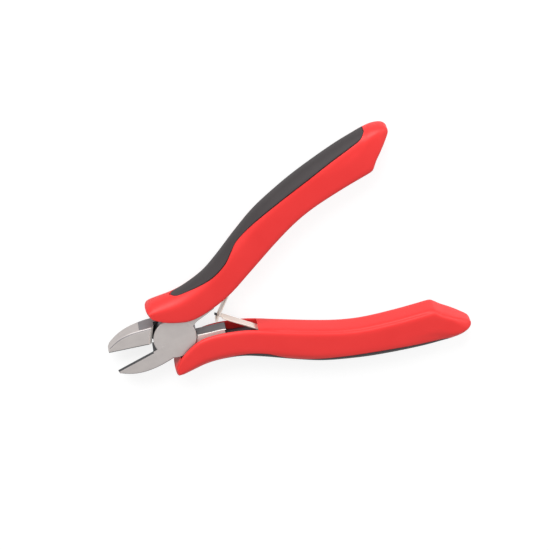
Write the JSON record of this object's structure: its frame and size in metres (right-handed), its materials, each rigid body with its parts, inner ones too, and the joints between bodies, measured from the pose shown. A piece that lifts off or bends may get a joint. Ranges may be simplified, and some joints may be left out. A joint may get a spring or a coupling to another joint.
{
  "type": "side cutters",
  "caption": "Small spring-opened side cutters: lap-jointed steel jaws on curved red grips with dark soft inlays and a hooked pair of leaf springs.",
  "frame": {"origin": "on the joint's axis, at the front face of the joint boss", "axes": "+X along the tool from the jaws to the handles, +Y towards the upper handle, +Z out of the front face, with the tool lying flat"},
  "size_m": [0.1131, 0.0826, 0.0106],
  "materials": {
    "steel": "ground, satin",
    "rivet": "ground flush",
    "grip": "satin moulded",
    "inlay": "soft matt",
    "leaf": "bright rolled"
  },
  "bodies": {
    "front": {"front_half": "steel", "joint_rivet": "rivet", "upper_grip": "grip", "upper_grip_insert": "inlay"},
    "rear": {"rear_half": "steel", "lower_grip": "grip", "lower_grip_insert": "inlay"},
    "upper_leaf": {"upper_leaf_spring": "leaf"},
    "lower_leaf": {"lower_leaf_spring": "leaf"}
  },
  "joints": [
    {"name": "handle_hinge", "type": "hinge", "parent": "front", "child": "rear", "pos_m": [0, 0, -0.0037], "axis": [0, 0, 1], "range_deg": [0, 17.9], "stiffness_Nm_per_rad": 0.6, "springref_deg": -5.73},
    {"name": "upper_leaf_bend", "type": "hinge", "parent": "front", "child": "upper_leaf", "pos_m": [0.02717, 0.01129, -0.0037], "axis": [0, 0, 1], "range_deg": [-10.4, 0.1]},
    {"name": "lower_leaf_bend", "type": "hinge", "parent": "rear", "child": "lower_leaf", "pos_m": [0.02717, -0.01129, -0.0037], "axis": [0, 0, 1], "range_deg": [-0.1, 10.4]}
  ],
  "couplings": [
    {"joint": "upper_leaf_bend", "follows": "handle_hinge", "ratio": -0.572},
    {"joint": "lower_leaf_bend", "follows": "handle_hinge", "ratio": 0.572}
  ]
}
